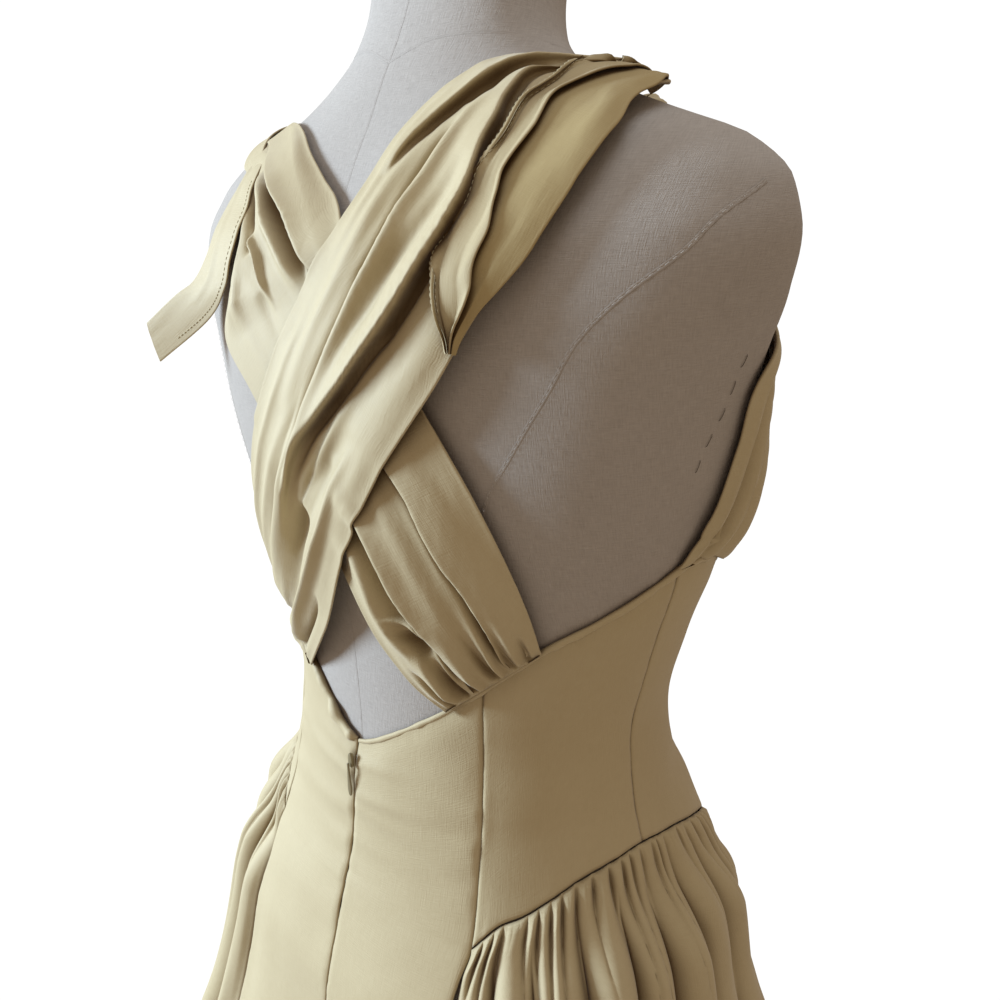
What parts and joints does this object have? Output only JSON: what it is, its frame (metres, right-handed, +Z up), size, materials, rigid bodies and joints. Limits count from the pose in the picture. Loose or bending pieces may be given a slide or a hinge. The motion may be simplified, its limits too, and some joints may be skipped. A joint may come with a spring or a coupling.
{
  "type": "midi dress on a limbless dress form",
  "caption": "Sleeveless midi dress with crossed back straps tied at the shoulders, a fitted waist and gathered side skirts, standing on a dress form.",
  "frame": {"origin": "on the floor at the middle of the stand's base, under the middle of the waist", "axes": "+Z up, +Y towards the wearer's back, -X towards the wearer's right side"},
  "size_m": [0.7808, 0.6314, 1.5281],
  "materials": {
    "cloth": "soft matte cotton sateen",
    "linen": "matte linen cover",
    "cap": "satin black",
    "steel": "satin dark grey",
    "zip": "satin, dyed to match the cloth"
  },
  "bodies": {
    "dress": {"cb_panel_l": "cloth", "cb_panel_r": "cloth", "cf_panel": "cloth", "side_back_l": "cloth", "side_back_r": "cloth", "side_front_l": "cloth", "side_front_r": "cloth", "side_skirt_l": "cloth", "side_skirt_r": "cloth", "cup_l": "cloth", "cup_r": "cloth", "strap_over": "cloth", "strap_under": "cloth", "knot_l": "cloth", "knot_r": "cloth", "tie_l": "cloth", "tie_r": "cloth", "form_torso": "linen", "neck_cap": "cap", "stand_collar": "steel", "stand_pole": "steel", "stand_base": "steel", "zip_slider": "zip"},
    "zip_pull": {"zip_pull": "zip"}
  },
  "joints": [
    {"name": "zip_pull_hinge", "type": "hinge", "parent": "dress", "child": "zip_pull", "pos_m": [0, 0.09702, 1.0902], "axis": [1, 0, 0], "range_deg": [0, 140]}
  ]
}
